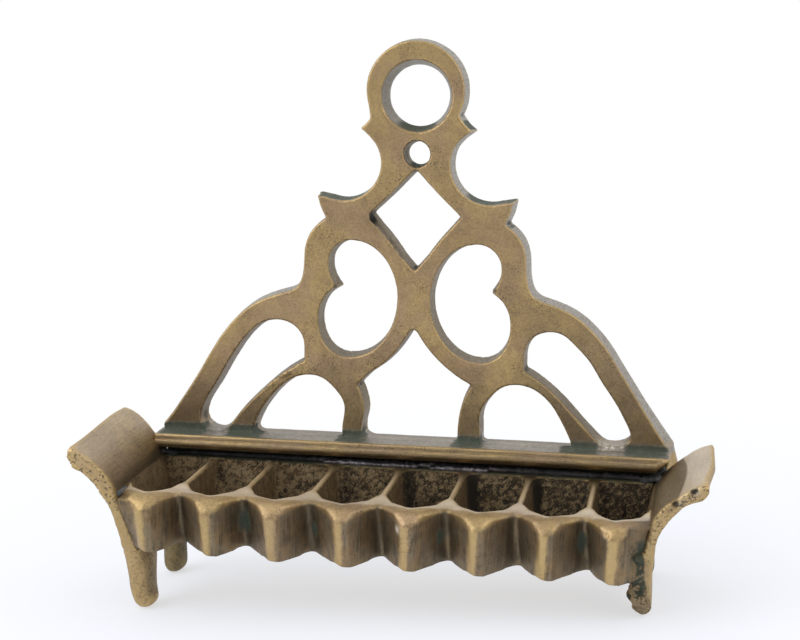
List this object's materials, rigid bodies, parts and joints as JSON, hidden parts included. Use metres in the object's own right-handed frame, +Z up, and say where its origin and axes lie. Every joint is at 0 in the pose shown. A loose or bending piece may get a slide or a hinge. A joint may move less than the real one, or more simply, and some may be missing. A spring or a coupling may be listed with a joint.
{
  "type": "hanukkah lamp",
  "caption": "Cast brass bench lamp: a row of oil wells with a zigzag front between two flared legged cheeks, under an openwork backplate with a hanging ring.",
  "frame": {"origin": "middle of the bounding box on the ground under the soles, with the lamp leaning as it stands", "axes": "+Z up, +X to the right along the row of wells, +Y to the back, square to the backplate"},
  "size_m": [0.207, 0.0638, 0.1863],
  "materials": {
    "castings": "worn and browned, bright along the edges",
    "solder": "dull and rough"
  },
  "bodies": {
    "root": {"backplate": "castings", "oil_trough": "castings", "left_cheek": "castings", "right_cheek": "castings", "rear_solder": "solder", "left_solder": "solder", "right_solder": "solder"}
  },
  "joints": []
}
